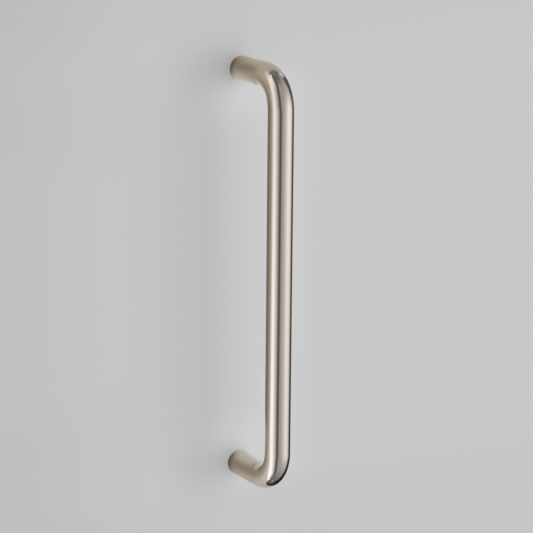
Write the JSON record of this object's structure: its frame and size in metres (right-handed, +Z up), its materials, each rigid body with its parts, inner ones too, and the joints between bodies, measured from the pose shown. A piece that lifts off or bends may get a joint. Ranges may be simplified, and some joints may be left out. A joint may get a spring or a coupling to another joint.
{
  "type": "door pull handle",
  "caption": "D-shaped door pull handle: one round metal bar bent square to the door at each end, tapped from behind for bolts through the door.",
  "frame": {"origin": "on the door's face, midway between the axes of the two feet", "axes": "+Z up along the grip, +Y into the door, +X to the right as seen from in front of the door"},
  "size_m": [0.019, 0.067, 0.324],
  "materials": {
    "satin_nickel": "solid brass bar with fine-brushed satin nickel plating, warm silver"
  },
  "bodies": {
    "root": {"pull_bar": "satin_nickel"}
  },
  "joints": []
}
